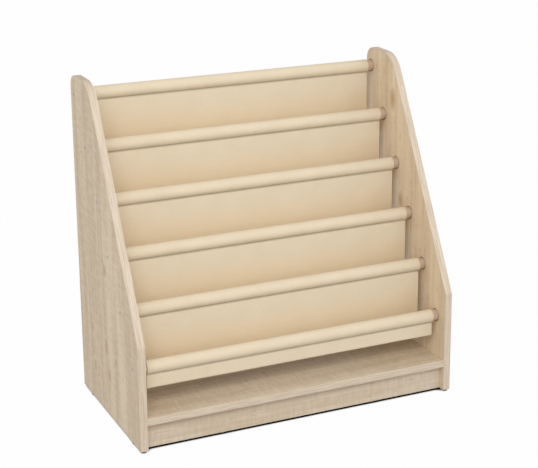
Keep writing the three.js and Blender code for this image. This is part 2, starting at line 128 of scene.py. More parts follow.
def maple_melamine(name, grain, decor, figure, knots=(), rims=None):
    """Maple decor paper under melamine: a satin film, so the grain is printed and hardly felt.
    Streaks, bands and fibres are noise stretched along the grain axis that wanders a little,
    slanting ripples cross them, and brown flecks of about 5 mm by 12 mm are the middles of
    stretched Voronoi cells. Figure is the weight of the ripples, and the fibres have the rest. A
    knot is an ellipse that darkens the decor and bends the streaks round itself. Rims are drilled
    sockets, as a plane across X and the middles of the holes. Round each hole on the inner face a
    dark brown ring a millimetre or two wide is painted: partly the board chipped bare at the edge
    of the hole, and partly painted shadow of the gap round the dowel."""
    material, shader, add = new_material(name, {"IOR": 1.5, "Specular IOR Level": 0.32})
    # A cell is the size of a pattern across the grain and along it.
    streak_cell, band_cell = (34 * mm, 700 * mm), (8 * mm, 380 * mm)
    fibre_cell, fleck_cell = (1.8 * mm, 55 * mm), (19 * mm, 49.4 * mm)
    ripple_cell, ripple_slant = (32 * mm, 7 * mm), math.radians(24)
    wander_cell, wander_reach = (90 * mm, 260 * mm), 14 * mm
    fleck_reach, fleck_core, fleck_strength = 0.21, 0.03, 0.42
    knot_slimness, knot_strength = 0.55, 0.7
    band_weight, fine_weight = 0.62, 0.98
    deepest_sum, palest_sum = 1.05, 1.55
    glossiest, dullest = 0.4, 0.52
    felt_height = 0.05 * mm
    place = add("TexCoord", result="Object")

    def sizes(cell):
        """The size of a cell on each axis."""
        return [cell[axis == grain] for axis in "XYZ"]

    bent, knot_shade = place, 0.0
    for y, z, half_width in np.array(knots) * mm:
        offset = add("VectorMath", [place, (0.0, y, z)], operation="SUBTRACT")
        shares = (0.0, 1 / half_width, knot_slimness / half_width)
        shares = add("VectorMath", [offset, shares], operation="MULTIPLY")
        distance = add("VectorMath", [shares], "Value", operation="LENGTH")
        near = add("MapRange", {"Value": distance, "From Min": 1.0, "From Max": 0.0}, **smooth)
        push = add("VectorMath", {0: offset, "Scale": near}, operation="SCALE")
        bent = add("VectorMath", [bent, push], operation="SUBTRACT")
        knot_shade = add("Math", [knot_shade, near], operation="MAXIMUM")

    wander = random_pattern(add, bent, sizes(wander_cell), detail=1.0)
    reach = [0.0 if axis == grain else wander_reach for axis in "XYZ"]
    wander = add("VectorMath", [wander, reach], operation="MULTIPLY")
    wavy = add("VectorMath", [bent, wander], operation="ADD")
    mixed = random_pattern(add, wavy, sizes(streak_cell))
    bands = random_pattern(add, wavy, sizes(band_cell), roughness=0.6)
    fibres = random_pattern(add, wavy, sizes(fibre_cell), roughness=0.6)
    ripples = random_pattern(add, place, sizes(ripple_cell), 1.0, 0.4, ripple_slant)
    for layer, weight in ((bands, band_weight), (fibres, fine_weight - figure), (ripples, figure)):
        mixed = add("Math", [layer, weight, mixed], operation="MULTIPLY_ADD")
    tone = add("MapRange", {"Value": mixed, "From Min": deepest_sum, "From Max": palest_sum})
    colour = add("ValToRGB", [tone], stops=[
        (0.0, decor["deep"]), (0.5, decor["middle"]), (1.0, decor["pale"])])
    cells = add("VectorMath", [wavy, [1 / size for size in sizes(fleck_cell)]],
                operation="MULTIPLY")
    cells = add("TexVoronoi", {"Vector": cells, "Scale": 1.0})
    flecks = add("MapRange", {"Value": cells, "From Min": fleck_reach, "From Max": fleck_core,
                              "To Max": fleck_strength}, **smooth)
    darkest = add("Math", [knot_shade, knot_strength], operation="MULTIPLY")
    marks = add("Math", [flecks, darkest], operation="MAXIMUM")
    colour = add("Mix", {"Factor": marks, first_colour: colour,
                         second_colour: linear(decor["fleck"])}, mixed_colour, data_type="RGBA")
    # Painted shadow of the gap round each dowel, together with chipped bare board: a dark brown
    # ring at each socket on the inner face.
    if rims is not None:
        plane_x, middles = rims
        nearest = 1.0
        for y, z in middles:
            offset = add("VectorMath", [place, (0.0, y, z)], operation="SUBTRACT")
            offset = add("VectorMath", [offset, (0.0, 1.0, 1.0)], operation="MULTIPLY")
            distance = add("VectorMath", [offset], "Value", operation="LENGTH")
            nearest = add("Math", [nearest, distance], operation="MINIMUM")
        off_plane = add("Math", [add("SeparateXYZ", [place]), plane_x], operation="SUBTRACT")
        off_plane = add("Math", [off_plane], operation="ABSOLUTE")
        round_hole = add("MapRange", {
            "Value": nearest, "From Min": socket_radius + rim_width,
            "From Max": socket_radius + rim_core, "To Max": rim_strength}, **smooth)
        at_face = add("MapRange", {"Value": off_plane, "From Min": board_thickness / 2,
                                   "From Max": rim_depth}, **smooth)
        on_rim = add("Math", [round_hole, at_face], operation="MULTIPLY")
        colour = add("Mix", {"Factor": on_rim, first_colour: colour,
                             second_colour: linear(rim_shade_brown)}, mixed_colour, data_type="RGBA")
    gloss = add("MapRange", {"Value": fibres, "To Min": glossiest, "To Max": dullest})
    relief = add("Bump", {"Height": fibres, "Strength": 0.08, "Distance": felt_height})
    set_inputs(shader, {"Base Color": colour, "Roughness": gloss, "Normal": relief})
    return material


def dress(node_name, material):
    """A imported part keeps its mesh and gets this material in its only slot."""
    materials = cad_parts[node_name].data.materials
    materials.clear()
    materials.append(material)


dowel_boxes = [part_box(f"dowel_{number}") for number in range(1, dowel_count + 1)]
dowel_axes = [((low.y + high.y) / 2, (low.z + high.z) / 2) for low, high in dowel_boxes]
for side_name, sign, figure, knots in (("left", -1, left_figure, left_knots),
                                       ("right", 1, right_figure, right_knots)):
    dress(f"side_{side_name}", maple_melamine(
        f"maple_melamine_{side_name}", "Z", side_decor, figure, knots,
        (sign * inner_plane_x, dowel_axes)))


# Side edging
# A strip of ABS plastic 1 mm thick in a paler maple print, glued round the front, top and rear
# edges of each side panel. Its arrises are rounded off after gluing, and its feet are bare.

edging_thickness = 1 * mm
edging_arris = 0.85 * mm
edging_tuck_depth = 0.4 * mm
edging_tuck_recess = 0.05 * mm
arris_points = 6
front_edge_height = 250 * mm
top_depth = 129 * mm
knee_radius = 15 * mm
front_top_radius = 71 * mm
back_top_radius = 31 * mm
bend_steps = 24
edging_colour = "#e2d4be"
edging_streak = "#cfbaa4"
merge_distance = 1e-4 * mm


def mesh_piece(name, points, faces, material, uv=None, tones=None, sharp_degrees=40):
    """A closed mesh from points and arrays of faces. Points that coincide are merged, every face
    is turned outwards, and it is smooth where it bends by less than an angle. The uv of each
    point goes to the corners of its faces, and its tones become attributes of their names."""
    mesh = bpy.data.meshes.new(name)
    polygons = [polygon for block in faces for polygon in np.asarray(block).tolist()]
    mesh.from_pydata(np.asarray(points, float).reshape(-1, 3).tolist(), [], polygons)
    if uv is not None:
        corners = np.empty(len(mesh.loops), np.int32)
        mesh.loops.foreach_get("vertex_index", corners)
        layer = mesh.uv_layers.new(name="cloth")
        layer.data.foreach_set("uv", np.asarray(uv, np.float32)[corners].ravel())
    for tone_name, values in (tones or {}).items():
        kept = mesh.attributes.new(tone_name, "FLOAT", "POINT")
        kept.data.foreach_set("value", np.asarray(values, np.float32).ravel())
    shell = bmesh.new()
    shell.from_mesh(mesh)
    bmesh.ops.remove_doubles(shell, verts=shell.verts, dist=merge_distance)
    bmesh.ops.recalc_face_normals(shell, faces=shell.faces)
    shell.to_mesh(mesh)
    shell.free()
    mesh.polygons.foreach_set("use_smooth", np.ones(len(mesh.polygons), bool))
    mesh.set_sharp_from_angle(angle=math.radians(sharp_degrees))
    mesh.materials.append(material)
    piece = bpy.data.objects.new(name, mesh)
    bpy.context.scene.collection.objects.link(piece)
    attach(piece, "root")
    return piece


def quads(rows, columns, wrap_columns=False):
    """Faces of a grid of points that is stored row by row: each joins a point, its neighbour in
    the next row, the one diagonal to it and its neighbour in the next column."""
    row = np.arange(rows - 1)[:, None] * columns
    column = np.arange(columns if wrap_columns else columns - 1)
    neighbour = (column + 1) % columns
    corners = [row + column, row + columns + column, row + columns + neighbour, row + neighbour]
    return np.stack(corners, axis=-1).reshape(-1, 4)


def rounded_route(corners, radii, arc_steps):
    """A route through corners in a plane. At each inner corner the two straights are joined by an
    arc of its radius that touches both, and each point carries the unit vector to its right."""
    corners = np.asarray(corners, float)
    along = np.diff(corners, axis=0)
    along /= np.linalg.norm(along, axis=1)[:, None]
    rights = np.stack([along[:, 1], -along[:, 0]], axis=1)
    points, normals = [corners[:1]], [rights[:1]]
    for index, radius in enumerate(radii, start=1):
        before, after = along[index - 1], along[index]
        turn = math.atan2(before[0] * after[1] - before[1] * after[0], before @ after)
        side = math.copysign(1, turn)
        start = corners[index] - before * radius * math.tan(abs(turn) / 2)
        centre = start - rights[index - 1] * radius * side
        angles = np.linspace(0, turn, arc_steps + 1)
        cosine, sine = np.cos(angles)[:, None], np.sin(angles)[:, None]
        turned_right = cosine * rights[index - 1] + sine * before
        points.append(centre + turned_right * radius * side)
        normals.append(turned_right)
    points.append(corners[-1:])
    normals.append(rights[-1:])
    return np.concatenate(points), np.concatenate(normals)


def edging_section():
    """The strip's section as (place across the board, depth into it): a flat face whose two
    arrises are quarter rounds, flush sides, and a tongue tucked just inside the board's faces."""
    half = board_thickness / 2
    quarter = np.linspace(0, math.pi / 2, arris_points)
    right_arris = np.stack([half - edging_arris + edging_arris * np.sin(quarter),
                            edging_arris - edging_arris * np.cos(quarter)], axis=1)
    flush = [[half, edging_thickness], [half - edging_tuck_recess, edging_thickness],
             [half - edging_tuck_recess, edging_thickness + edging_tuck_depth]]
    right = np.concatenate([right_arris, flush])
    return np.concatenate([right, right[::-1] * [-1, 1]])


def edging_strip(name, route, inward, across, material):
    """Carries the section along a route in space: each point is the route's point, plus its place
    across the board along one fixed axis, plus its depth along the route's inward vector."""
    section = edging_section()
    points = (route[:, None, :] + section[None, :, :1] * np.asarray(across, float)
              + section[None, :, 1:] * inward[:, None, :])
    rows, columns = points.shape[:2]
    first_end = np.arange(columns)[None, :]
    last_end = first_end + (rows - 1) * columns
    walls = quads(rows, columns, wrap_columns=True)
    return mesh_piece(name, points, [walls, first_end, last_end], material)


def maple_edging(name, grain):
    """ABS edging is printed to match: a satin plastic with fine pale and rosy streaks, 1 to 2 mm
    wide, which run along the strip and wander a little."""
    material, shader, add = new_material(
        name, {"Roughness": 0.4, "IOR": 1.53, "Specular IOR Level": 0.4})
    streak_width, streak_length = 1.9 * mm, 60 * mm
    felt_height = 0.05 * mm
    sizes = [streak_length if axis in grain else streak_width for axis in "XYZ"]
    place = add("TexCoord", result="Object")
    streaks = random_pattern(add, place, sizes, detail=3.0, roughness=0.6)
    colour = add("ValToRGB", [streaks], stops=[(0.36, edging_streak), (0.6, edging_colour)])
    relief = add("Bump", {"Height": streaks, "Strength": 0.06, "Distance": felt_height})
    set_inputs(shader, {"Base Color": colour, "Normal": relief})
    return material


side_edging_print = maple_edging("maple_edging_upright", "YZ")
for side_name in ("left", "right"):
    low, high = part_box(f"side_edging_{side_name}")
    knee_z = low.z + front_edge_height
    outline = [(low.y, low.z), (low.y, knee_z), (high.y - top_depth, high.z),
               (high.y, high.z), (high.y, low.z)]
    radii = [knee_radius, front_top_radius, back_top_radius]
    route, inward = rounded_route(outline, radii, bend_steps)
    in_space = np.insert(route, 0, (low.x + high.x) / 2, axis=1)
    inward_space = np.insert(inward, 0, 0.0, axis=1)
    strip = edging_strip(f"edging_strip_{side_name}", in_space, inward_space, (1, 0, 0),
                         side_edging_print)
    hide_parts(f"side_edging_{side_name}")


# Bottom shelf
# The same board laid flat between the side panels, with the grain along its length. A straight
# strip of the same edging covers its front. Cams in its underside pull it to the sides.

shelf_decor = {"pale": "#e4d3bc", "middle": "#d9c7ad", "deep": "#cbb89c", "fleck": "#a98e6f"}
shelf_figure = 0.5
shelf_stations = 9
dress("bottom_shelf", maple_melamine("maple_melamine_shelf", "X", shelf_decor, shelf_figure))
shelf_low, shelf_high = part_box("shelf_edging")
shelf_middle_z = (shelf_low.z + shelf_high.z) / 2
shelf_route = np.array([(x, shelf_low.y, shelf_middle_z)
                        for x in np.linspace(shelf_low.x, shelf_high.x, shelf_stations)])
shelf_inward = np.array([[0.0, 1.0, 0.0]] * shelf_stations)
shelf_strip = edging_strip("shelf_edging_strip", shelf_route, shelf_inward, (0, 0, 1),
                           maple_edging("maple_edging_level", "X"))
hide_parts("shelf_edging")


# Plinths
# Two boards on edge, 18 mm behind the rims of the sides, that carry the shelf and stop it from
# bending. They have the same maple face, with the grain along their length.

plinth_decor = {"pale": "#e6d8c3", "middle": "#dccbb5", "deep": "#d1bea4", "fleck": "#af9678"}
plinth_figure = 0.45
plinth_melamine = maple_melamine("maple_melamine_plinth", "X", plinth_decor, plinth_figure)
dress("front_plinth", plinth_melamine)
dress("rear_plinth", plinth_melamine)


# Cams, cam bolts and pegs
# Die cast zinc cams 15 mm across, zinc plated steel bolts in the side panels and ribbed beech
# pegs. They pull the shelf and the plinths to the sides, and only the cams can be seen, from
# below and from inside.

cam_grey = "#8d8f92"
cam_dark = "#6f7174"
bolt_grey = "#a3a5a8"
beech_pale, beech_deep, beech_ray = "#d3bca4", "#c4a88f", "#a08061"
cam_roughness, cam_grain = 0.45, 2 * mm
bolt_roughness, bolt_grain = 0.38, 4 * mm


def plated_metal(name, pale, dark, roughness, grain_size):
    """Metal from the plating bath or the die: metallic, dull, clouded by noise of a grain size
    that makes it a little glossier and duller by turns."""
    material, shader, add = new_material(name, {"Metallic": 1.0})
    glossier, duller, cloud_height = 0.08, 0.1, 0.05 * mm
    place = add("TexCoord", result="Object")
    cloud = random_pattern(add, place, [grain_size] * 3, detail=3.0, roughness=0.6)
    colour = add("ValToRGB", [cloud], stops=[(0.3, dark), (0.7, pale)])
    gloss = add("MapRange", {"Value": cloud, "To Min": roughness - glossier,
                             "To Max": roughness + duller})
    relief = add("Bump", {"Height": cloud, "Strength": 0.1, "Distance": cloud_height})
    set_inputs(shader, {"Base Color": colour, "Roughness": gloss, "Normal": relief})
    return material


def turned_beech(name):
    """Beech turned to a bar and sanded, bare: a pinkish brown with fine pores along the bar and
    the small dark dashes of its rays, about 3 mm long."""
    material, shader, add = new_material(
        name, {"Roughness": 0.55, "IOR": 1.5, "Specular IOR Level": 0.35})
    pore_width, pore_length, pore_depth = 1.6 * mm, 60 * mm, 0.08 * mm
    ray_width, ray_length, ray_strength = 0.9 * mm, 4 * mm, 0.4
    place = add("TexCoord", result="Object")
    pore_sizes = (pore_length, pore_width, pore_width)
    pores = random_pattern(add, place, pore_sizes, detail=3.0, roughness=0.6)
    rays = random_pattern(add, place, (ray_length, ray_width, ray_width), detail=1.0)
    ray_mask = add("MapRange", {"Value": rays, "From Min": 0.64, "From Max": 0.74,
                                "To Max": ray_strength})
    colour = add("ValToRGB", [pores], stops=[(0.3, beech_deep), (0.65, beech_pale)])
    colour = add("Mix", {"Factor": ray_mask, first_colour: colour,
                         second_colour: linear(beech_ray)}, mixed_colour, data_type="RGBA")
    relief = add("Bump", {"Height": pores, "Strength": 0.15, "Distance": pore_depth})
    set_inputs(shader, {"Base Color": colour, "Normal": relief})
    return material


die_cast_zinc = plated_metal("die_cast_zinc", cam_grey, cam_dark, cam_roughness, cam_grain)
plated_steel = plated_metal("zinc_plated_steel_bolt", bolt_grey, cam_grey, bolt_roughness,
                            bolt_grain)
bare_beech = turned_beech("beech_turned_bare")
for node_name in sorted(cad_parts):
    if node_name.startswith("cam_bolt"):
        dress(node_name, plated_steel)
    elif node_name.startswith("cam_"):
        dress(node_name, die_cast_zinc)
    elif node_name.startswith("peg_"):
        dress(node_name, bare_beech)


# Glides
# Black plastic buttons 17 mm across with a rolled lower rim and a steel pin moulded in, nailed
# under the side panels and the plinths. They hold the boards 5 mm off the floor.

glide_rim = 0.9 * mm
glide_crown = 0.25 * mm
glide_pin_radius = 1 * mm
glide_black, glide_worn = "#121213", "#2c2c2d"
glide_facets, rim_points = 48, 7


def turned(profile, facets, hexagon_share=0.0):
    """Turns a profile of (radius, height), from pole to pole, about the Z axis: each ring's
    points are the radius times the cosine and sine of equal angles. A hexagon share of 1 draws a
    ring in to a regular hexagon with its corners on the radius, and 0 leaves it round."""
    profile = np.asarray(profile, float)
    angles = np.linspace(0, 2 * math.pi, facets, endpoint=False)
    sixth = math.pi / 3
    hexagon = math.cos(sixth / 2) / np.cos((angles % sixth) - sixth / 2)
    share = np.broadcast_to(hexagon_share, len(profile))[:, None]
    reach = profile[:, :1] * (1 + share * (hexagon - 1))
    rings = np.stack([reach * np.cos(angles), reach * np.sin(angles),
                      np.repeat(profile[:, 1:], facets, axis=1)], axis=-1)
    inner = rings[1:-1].reshape(-1, 3)
    points = np.concatenate([rings[0, :1], inner, rings[-1, :1]])
    walls = 1 + quads(len(profile) - 2, facets, wrap_columns=True)
    own = np.arange(facets)
    next_one = (own + 1) % facets
    last_ring = 1 + (len(profile) - 3) * facets
    first_fan = np.stack([np.zeros(facets, int), 1 + own, 1 + next_one], axis=1)
    last_pole = np.full(facets, len(points) - 1)
    last_fan = np.stack([last_pole, last_ring + next_one, last_ring + own], axis=1)
    return points, [walls, first_fan, last_fan]


def moulded_plastic(name):
    """Moulded plastic from a spark eroded mould: near black, half matt, with a fine grain."""
    material, shader, add = new_material(
        name, {"Roughness": 0.5, "IOR": 1.49, "Specular IOR Level": 0.5})
    grit_size, grit_height = 0.8 * mm, 0.05 * mm
    grit = random_pattern(add, add("TexCoord", result="Object"), [grit_size] * 3)
    colour = add("ValToRGB", [grit], stops=[(0.4, glide_black), (0.9, glide_worn)])
    relief = add("Bump", {"Height": grit, "Strength": 0.15, "Distance": grit_height})
    set_inputs(shader, {"Base Color": colour, "Normal": relief})
    return material


glide_plastic = moulded_plastic("black_moulded_plastic")
for node_name in [name for name in sorted(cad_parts) if name.startswith("glide_")]:
    low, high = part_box(node_name)
    radius = (high.x - low.x) / 2
    board_z = side_low.z
    rim = [(radius - glide_rim + glide_rim * math.sin(a), low.z + glide_rim * (1 - math.cos(a)))
           for a in np.linspace(0, math.pi / 2, rim_points)]
    glide_profile = [(0.0, low.z), (radius - 2 * glide_rim, low.z), *rim,
                     (radius, board_z - glide_crown), (radius - glide_crown, board_z),
                     (glide_pin_radius, board_z), (glide_pin_radius, high.z - glide_pin_radius),
                     (0.0, high.z)]
    points, faces = turned(glide_profile, glide_facets)
    middle = ((low.x + high.x) / 2, (low.y + high.y) / 2, 0.0)
    button = mesh_piece(node_name.replace("glide", "glide_button"), points + middle, faces,
                        glide_plastic)
    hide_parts(node_name)


# Dowels
# Turned beech bars 28 mm thick, sanded and left bare. Their ends are chamfered, sit in shallow
# sockets in the side panels and are drilled for the screws that hold them.

dowel_chamfer = 1.2 * mm
pilot_radius = 2.8 * mm
pilot_depth = 38.3 * mm
ring_margin, bar_rings, bar_facets = 9 * mm, 13, 64
dowel_radius = (dowel_boxes[0][1].z - dowel_boxes[0][0].z) / 2
along_x = [2, 0, 1]

for number, (low, high) in enumerate(dowel_boxes, start=1):
    half = (high.x - low.x) / 2
    one_end = [(0.0, half - pilot_depth), (pilot_radius, half - pilot_depth), (pilot_radius, half),
               (dowel_radius - dowel_chamfer, half), (dowel_radius, half - dowel_chamfer)]
    lengthwise = [(dowel_radius, x)
                  for x in np.linspace(half - ring_margin, ring_margin - half, bar_rings)]
    dowel_profile = [*one_end, *lengthwise, *[(radius, -x) for radius, x in reversed(one_end)]]
    points, faces = turned(dowel_profile, bar_facets)
    axis_y, axis_z = dowel_axes[number - 1]
    bar = mesh_piece(f"dowel_bar_{number}", points[:, along_x] + (0.0, axis_y, axis_z), faces,
                     bare_beech)
    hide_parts(f"dowel_{number}")


# Dowel screws
# Zinc plated steel screws with a flat round head 8.4 mm across and a six sided socket. One goes
# through the side panel into each end of each dowel, with its head flush with the panel.

screw_head_radius = 4.2 * mm
screw_head_depth = 3 * mm
screw_edge_round = 0.4 * mm
screw_shank_radius = 2.5 * mm
screw_tip = 2.5 * mm
key_width = 4 * mm
key_corner_radius = key_width / math.sqrt(3)
key_foot_radius = 0.98 * key_corner_radius
key_depth = 2 * mm
key_chamfer = 0.3 * mm
key_mouth_share = 0.7
round_middle = 0.3 * screw_edge_round
screw_facets = 48
screw_pale, screw_dark = "#c3c5c9", "#9c9ea3"
screw_roughness, screw_grain = 0.34, 3 * mm
screw_steel = plated_metal("zinc_plated_steel_screw", screw_pale, screw_dark, screw_roughness,
                           screw_grain)
screw_low, screw_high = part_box("dowel_screw_left_1")
screw_length = screw_high.x - screw_low.x
screw_profile = [
    (0.0, key_depth), (key_foot_radius, key_depth),
    (key_corner_radius, key_chamfer), (key_corner_radius + key_chamfer, 0.0),
    (screw_head_radius - screw_edge_round, 0.0),
    (screw_head_radius - round_middle, round_middle),
    (screw_head_radius, screw_edge_round), (screw_head_radius, screw_head_depth),
    (screw_shank_radius, screw_head_depth), (screw_shank_radius, screw_length - screw_tip),
    (0.0, screw_length)]
screw_hexagon = [0, 1, 1, key_mouth_share, 0, 0, 0, 0, 0, 0, 0]
screw_points, screw_faces = turned(screw_profile, screw_facets, screw_hexagon)
for side_name, sign in (("left", -1), ("right", 1)):
    for number, (axis_y, axis_z) in enumerate(dowel_axes, start=1):
        node_name = f"dowel_screw_{side_name}_{number}"
        low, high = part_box(node_name)
        head_x = low.x if sign < 0 else high.x
        placed = screw_points[:, along_x] * (-sign, 1, 1) + (head_x, axis_y, axis_z)
        screw = mesh_piece(f"screw_{side_name}_{number}", placed, screw_faces, screw_steel,
                           sharp_degrees=30)
        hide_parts(node_name)


# Slings
# Lengths of close woven cream cloth with a hem down both sides. Each slides over a dowel by a
# sewn tunnel, hangs down as the back of a pocket, folds forward under it and rises to the seam
# of the next tunnel. The last one has a second tunnel, on the lowest dowel.

cloth_thickness = 1.3 * mm
tunnel_clearance = 0.3 * mm
tunnel_radius = dowel_radius + tunnel_clearance + cloth_thickness / 2
leaf_offset = 6.5 * mm
lapped_offset = 4.9 * mm
pocket_drop = 33.5 * mm
pocket_sag = 6 * mm
rear_fold_radius = 5 * mm
front_fold_radius = 3 * mm
sag_round_share = 0.7
crease_radius = 1.1 * mm
layer_gap = 0.3 * mm
seam_tail = 12 * mm
lapped_tail_offset = 3.5 * mm
plain_tail_offset = 5.15 * mm
tunnel_step, bend_step = math.radians(5), math.radians(15)
fold_steps = 10
longest_step = 5 * mm
middle_columns, hem_columns, fold_columns = 31, 15, 6
middle_margin, hem_margin, fold_margin = 12 * mm, 11 * mm, 1.5 * mm
hem_width, hem_rise = 8 * mm, 0.25 * mm
hem_groove, hem_groove_width = 0.25 * mm, 0.7 * mm
ripple_height = 0.8 * mm
ripple_free_drop, ripple_full_drop = 16 * mm, 70 * mm
long_wave, short_wave = 310 * mm, 170 * mm
long_wave_share = 0.6
phase_step = 1.7
pinch_depth, pinch_drop, pinch_reach = 1.4 * mm, 17 * mm, 1.8 * mm
# Painted shade in a line along the crease under each tunnel, and painted warm light bounced inside
# each pocket, which starts at the first drop below the axis and is full at the second.
crease_line_width, crease_line_shade = 1.3 * mm, 0.52
pocket_bounce_from, pocket_bounce_full = 35 * mm, 110 * mm
pocket_bounce_strength = 0.55
stitch_pitch, stitch_length, thread_radius = 3 * mm, 2.3 * mm, 0.2 * mm
stitch_sunk, stitch_height = 0.15 * mm, 0.1 * mm
stitch_rings, stitch_facets = 5, 5
seam_stitch_drop = 3 * mm
hem_stitch_inset = 6.6 * mm
cloth_pale, cloth_deep = "#ebdcc2", "#e5d4b7"
# The tint of the painted warm light in the pockets, and the brown of the painted shade in the
# creases.
pocket_bounce_tint, crease_shade_brown = "#eed6b0", "#6e5a40"
thread_colour = "#e9dbc2"


def close_weave(name):
    """Close woven cotton and polyester with a smooth face: matt, with a soft sheen at grazing
    angles. The threads are 0.5 mm apart, drawn 1 mm apart so that they show in a close view, as
    a sine along one way times a sine along the other. Slubs 9 mm long tint single threads."""
    material, shader, add = new_material(
        name, {"Roughness": 0.75, "IOR": 1.47, "Specular IOR Level": 0.3,
               "Sheen Weight": 0.12, "Sheen Roughness": 0.45})
    thread_pitch = 1 * mm
    slub_width, slub_length = 1.2 * mm, 9 * mm
    cloud_size = 60 * mm
    weave_tint, deepest_sum, palest_sum = 0.12, 1.1, 1.9
    slub_height, weave_height = 0.6, 0.12 * mm
    place = add("UVMap", uv_map="cloth")
    across_and_along = add("SeparateXYZ", [place]).node.outputs
    turns = [add("Math", [across_and_along[axis], math.pi / thread_pitch], operation="MULTIPLY")
             for axis in "XY"]
    weave = add("Math", [add("Math", [turn], operation="SINE") for turn in turns],
                operation="MULTIPLY")
    slub_sizes = [(slub_length, slub_width, 1.0), (slub_width, slub_length, 1.0)]
    slubs = add("Math", [random_pattern(add, place, sizes, detail=1.0) for sizes in slub_sizes],
                operation="ADD")
    cloud = random_pattern(add, place, [cloud_size] * 3)
    tone = add("Math", [slubs, cloud], operation="ADD")
    tone = add("Math", [weave, weave_tint, tone], operation="MULTIPLY_ADD")
    tone = add("MapRange", {"Value": tone, "From Min": deepest_sum, "From Max": palest_sum})
    colour = add("ValToRGB", [tone], stops=[(0.0, cloth_deep), (1.0, cloth_pale)])
    # Two painted tones from the cloth's attributes: warm light bounced inside each pocket, and
    # shade in the crease under each tunnel.
    for tone_name, share, tint in (("pocket", pocket_bounce_strength, pocket_bounce_tint),
                                   ("crease", crease_line_shade, crease_shade_brown)):
        toned = add("Attribute", result="Fac", attribute_name=tone_name)
        amount = add("Math", [toned, share], operation="MULTIPLY")
        colour = add("Mix", {"Factor": amount, first_colour: colour,
                             second_colour: linear(tint)}, mixed_colour, data_type="RGBA")
    height = add("Math", [slubs, slub_height, weave], operation="MULTIPLY_ADD")
    relief = add("Bump", {"Height": height, "Strength": 0.25, "Distance": weave_height})
    set_inputs(shader, {"Base Color": colour, "Normal": relief})
    return material


def smooth_share(value):
    """0 below 0, 1 above 1 and 3v^2 - 2v^3 between."""
    value = np.clip(value, 0, 1)
    return value * value * (3 - 2 * value)


def arc(centre, radius, start_angle, end_angle, step):
    """Points on a circle from one angle to another, at equal angles of at most one step."""
    count = math.ceil(abs(end_angle - start_angle) / step)
    angles = np.linspace(start_angle, end_angle, count + 1)
    return np.asarray(centre) + radius * np.stack([np.cos(angles), np.sin(angles)], axis=1)


def crease(middle_y):
    """The middle of a small bend that touches the tunnel's circle from outside, below it, and the
    angle on the tunnel at which they touch. The dowel's axis is the origin, and the distance of
    the middle from it is the sum of the two radii."""
    middle_z = -math.sqrt((tunnel_radius + crease_radius) ** 2 - middle_y ** 2)
    return (middle_y, middle_z), math.atan2(middle_z, middle_y)


crease_drop = -crease(-leaf_offset - crease_radius)[0][1]


def tunnel_route(tail_depth):
    """From the tail of the seam up behind the leaf, round the dowel over its back and its top, and
    down its front into the leaf. Depth is Y, height is Z, and the dowel's axis is the origin."""
    rear_middle, rear_angle = crease(crease_radius - tail_depth)
    front_middle, front_angle = crease(-leaf_offset - crease_radius)
    tail_end = [(-tail_depth, rear_middle[1] - seam_tail)]
    rear_bend = arc(rear_middle, crease_radius, math.pi, rear_angle + math.pi, bend_step)
    tunnel = arc((0.0, 0.0), tunnel_radius, rear_angle, front_angle + 2 * math.pi, tunnel_step)
    front_bend = arc(front_middle, crease_radius, front_angle + math.pi, 0.0, bend_step)
    return np.concatenate([tail_end, rear_bend, tunnel[1:-1], front_bend])


def pocket_route(next_axis, front_offset, front_top):
    """Down the leaf, round the rear fold, along the sagging bottom, round the front fold and up
    the front leaf to a height below the next tunnel's axis."""
    next_y, next_z = next_axis
    leaf_y, front_y = -leaf_offset, next_y - front_offset
    bottom_z = next_z - tunnel_radius - pocket_drop
    half_run = (leaf_y - front_y) / 2
    sag_radius = sag_round_share * math.hypot(half_run, pocket_sag) * half_run / pocket_sag
    corners = [(leaf_y, -crease_drop), (leaf_y, bottom_z),
               (leaf_y - half_run, bottom_z - pocket_sag),
               (front_y, bottom_z), (front_y, next_z + front_top)]
    radii = [rear_fold_radius, sag_radius, front_fold_radius]
    return rounded_route(corners, radii, fold_steps)[0]


def sampled(route):
    """The route with places added on its straights, so that no step is over the longest one."""
    steps = np.linalg.norm(np.diff(route, axis=0), axis=1)
    route = route[np.concatenate([[True], steps > merge_distance])]
    steps = np.linalg.norm(np.diff(route, axis=0), axis=1)
    reached = np.concatenate([[0.0], np.cumsum(steps)])
    counts = np.ceil(steps / longest_step).astype(int)
    first_of_step = np.repeat(np.cumsum(counts) - counts, counts)
    share = (np.arange(counts.sum()) - first_of_step) / np.repeat(counts, counts)
    places = np.repeat(reached[:-1], counts) + share * np.repeat(steps, counts)
    places = np.append(places, reached[-1])
    points = np.stack([np.interp(places, reached, route[:, axis]) for axis in (0, 1)], axis=1)
    return points, places


def waves_under(dowel_number, x, drop):
    """How far forward the cloth under a dowel stands: two sine waves across the width, a long and
    a short one, with phases of their own for each dowel, which grow from nothing with the drop
    below its axis. The seam under the tunnel pulls the layers back in a bell shaped groove: e to
    minus the square of (drop - its drop) over its reach."""
    turn = 2 * math.pi * x
    phase = phase_step * dowel_number
    waves = (long_wave_share * np.sin(turn / long_wave + phase)
             + (1 - long_wave_share) * np.sin(turn / short_wave + 2 * phase))
    pinch = pinch_depth * np.exp(-((drop - pinch_drop) / pinch_reach) ** 2)
    grown = smooth_share((drop - ripple_free_drop) / ripple_full_drop)
    return ripple_height * waves * grown - pinch


def pushed_forward(x, y, z, number, next_axis, front_offset):
    """The waves of the own dowel on the leaf and of the next one on the front leaf, where they
    match the leaf in front. Along the bottom the share changes evenly from one to the other."""
    share = np.clip((-leaf_offset - y) / (front_offset - leaf_offset - next_axis[0]), 0, 1)
    own = waves_under(number, x, -z)
    following = waves_under(number + 1, x, next_axis[1] - z)
    return (1 - share) * own + share * following


